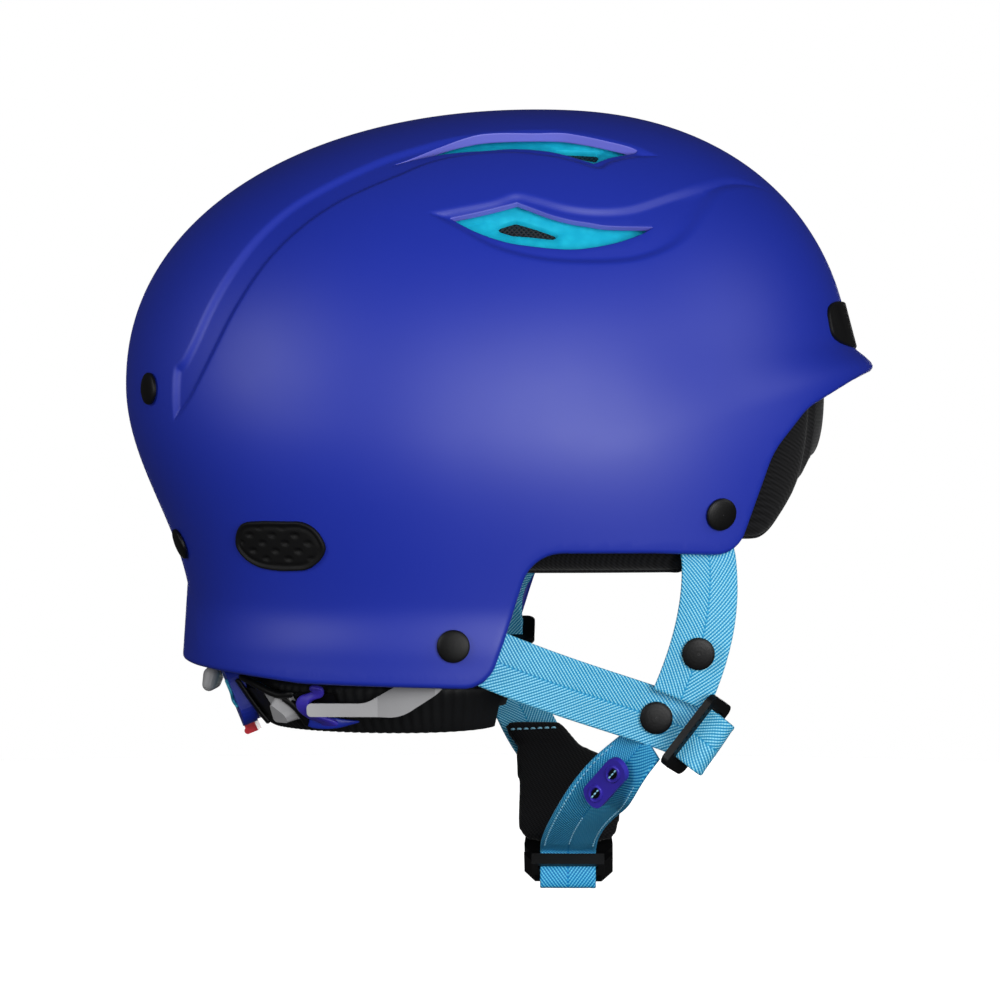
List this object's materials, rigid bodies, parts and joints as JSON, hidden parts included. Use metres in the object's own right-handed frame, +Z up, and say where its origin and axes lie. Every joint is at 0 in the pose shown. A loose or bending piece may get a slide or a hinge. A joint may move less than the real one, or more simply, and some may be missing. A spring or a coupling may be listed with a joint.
{
  "type": "kayak helmet",
  "caption": "Hard-shell paddling helmet with foam liner, vents, ear arches, squeeze-to-fit nape cradle, webbing harness and side-release chin buckle.",
  "frame": {"origin": "centre of the wearer's head inside the liner, level with the temples, where the head seats", "axes": "-Y to the front, -X to the wearer's right, +Z up to the crown"},
  "size_m": [0.216, 0.2634, 0.2776],
  "materials": {
    "shell": "satin moulded plastic, very fine texture",
    "liner_foam": "moulded foam, fine bead",
    "mesh": "satin",
    "bumper_rubber": "matt",
    "black_plastic": "satin",
    "pad_fabric": "fine knit",
    "webbing": "herringbone weave",
    "nape_rubber": "ribbed, matt",
    "blue_plastic": "satin",
    "violet_plastic": "satin",
    "grey_plastic": "satin",
    "accent_plastic": "satin",
    "red_plastic": "satin"
  },
  "bodies": {
    "helmet": {"outer_shell": "shell", "impact_liner": "liner_foam", "vent_mesh": "mesh", "side_bumper_right": "bumper_rubber", "side_bumper_left": "bumper_rubber", "front_bumper": "bumper_rubber", "front_strap_rivets": "black_plastic", "rear_strap_rivets": "black_plastic", "upper_cradle_rivets": "black_plastic", "lower_cradle_rivets": "black_plastic", "brow_pad": "pad_fabric", "side_pad_right": "pad_fabric", "side_pad_left": "pad_fabric", "crown_pad": "pad_fabric", "rear_pad": "pad_fabric", "suspension_strips": "black_plastic", "arm_right": "grey_plastic", "arm_left": "grey_plastic", "front_strap_right": "webbing", "front_strap_left": "webbing", "rear_strap_right": "webbing", "rear_strap_left": "webbing", "slider_right": "black_plastic", "slider_left": "black_plastic", "strap_snaps": "black_plastic", "chin_strap_right": "webbing", "chin_strap_left": "webbing", "chin_guard": "pad_fabric", "buckle_socket": "black_plastic", "strap_keeper": "violet_plastic"},
    "plug": {"buckle_plug": "black_plastic"},
    "cradle": {"cradle_housing": "blue_plastic", "cradle_inlay": "accent_plastic", "cradle_band": "black_plastic", "nape_pad": "nape_rubber", "clip_right": "blue_plastic", "clip_left": "blue_plastic", "rear_grip": "grey_plastic"},
    "tab_right": {"squeeze_tab_right": "grey_plastic"},
    "tab_left": {"squeeze_tab_left": "grey_plastic"},
    "button": {"release_button": "red_plastic"}
  },
  "joints": [
    {"name": "plug_slide", "type": "slide", "parent": "helmet", "child": "plug", "axis": [-0.7764, 0, -0.6303], "range_m": [0, 0.03], "deforming": ["chin_strap_right"]},
    {"name": "cradle_tighten", "type": "slide", "parent": "helmet", "child": "cradle", "axis": [0, -1, 0], "range_m": [0, 0.01]},
    {"name": "tab_right_squeeze", "type": "hinge", "parent": "cradle", "child": "tab_right", "pos_m": [0, 0.015, -0.084], "axis": [0, 0, -1], "range_deg": [0, 7]},
    {"name": "tab_left_squeeze", "type": "hinge", "parent": "cradle", "child": "tab_left", "pos_m": [0, 0.015, -0.084], "axis": [0, 0, 1], "range_deg": [0, 7]},
    {"name": "button_press", "type": "slide", "parent": "cradle", "child": "button", "axis": [0, 0.3746, 0.9272], "range_m": [0, 0.002], "stiffness_N_per_m": 300, "springref_m": -0.002}
  ],
  "couplings": [
    {"joint": "tab_right_squeeze", "follows": "cradle_tighten", "rad_per_m": 12.217},
    {"joint": "tab_left_squeeze", "follows": "cradle_tighten", "rad_per_m": 12.217}
  ]
}
